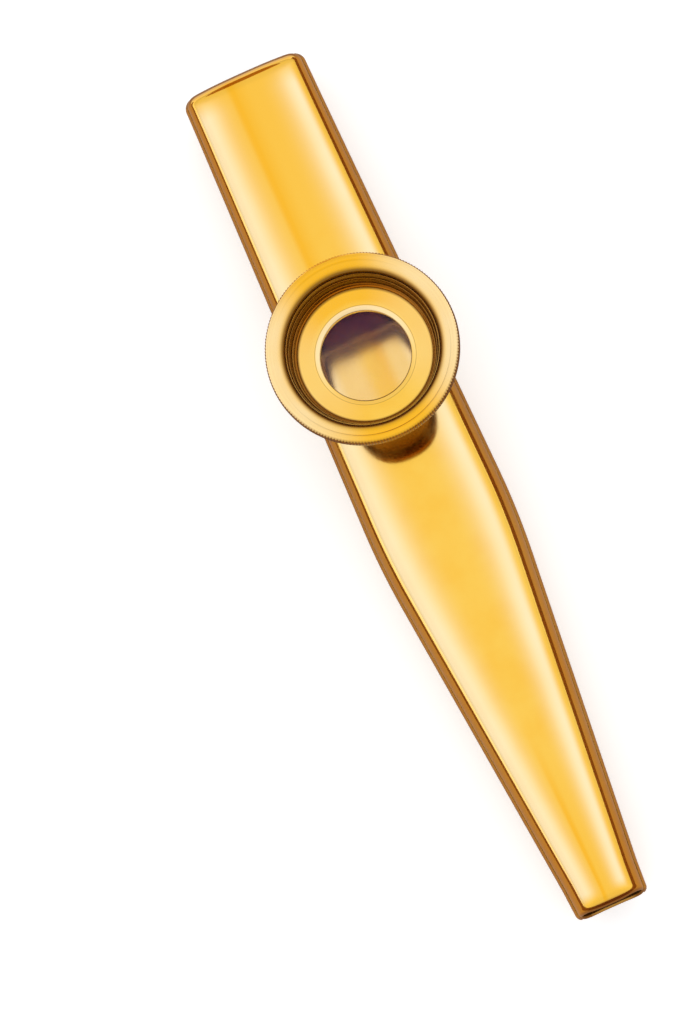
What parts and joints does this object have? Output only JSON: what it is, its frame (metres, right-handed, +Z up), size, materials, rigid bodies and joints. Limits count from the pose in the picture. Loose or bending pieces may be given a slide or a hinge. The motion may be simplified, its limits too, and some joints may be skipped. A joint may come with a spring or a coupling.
{
  "type": "kazoo",
  "caption": "Metal kazoo: tapered body of lapped sheet shells, and a round turret whose threaded flanged cap clamps a resonator film.",
  "frame": {"origin": "bottom centre of the bounding box, under the middle of the body and level with its belly", "axes": "+X along the body from the wide mouth end to the narrow end, +Z up through the turret"},
  "size_m": [0.12, 0.0252, 0.0212],
  "materials": {
    "shell_gold": "gold anodised, polished",
    "collar_gold": "gold anodised, polished",
    "cap_gold": "gold anodised, bright",
    "film_clear": "thin clear film",
    "ring_white": "plain moulded"
  },
  "bodies": {
    "body": {"upper_shell": "shell_gold", "lower_shell": "shell_gold", "turret_collar": "collar_gold"},
    "membrane": {"membrane_ring": "ring_white", "membrane_film": "film_clear"},
    "cap": {"turret_cap": "cap_gold"}
  },
  "joints": [
    {"name": "cap_lift", "type": "slide", "parent": "body", "child": "membrane", "axis": [0, 0, 1], "range_m": [0, 0.0045]},
    {"name": "cap_turn", "type": "hinge", "parent": "membrane", "child": "cap", "pos_m": [-0.0172, 0, 0.0184], "axis": [0, 0, 1], "range_deg": [0, 1080]}
  ],
  "couplings": [
    {"joint": "cap_lift", "follows": "cap_turn", "m_per_rad": 0.00023873}
  ]
}
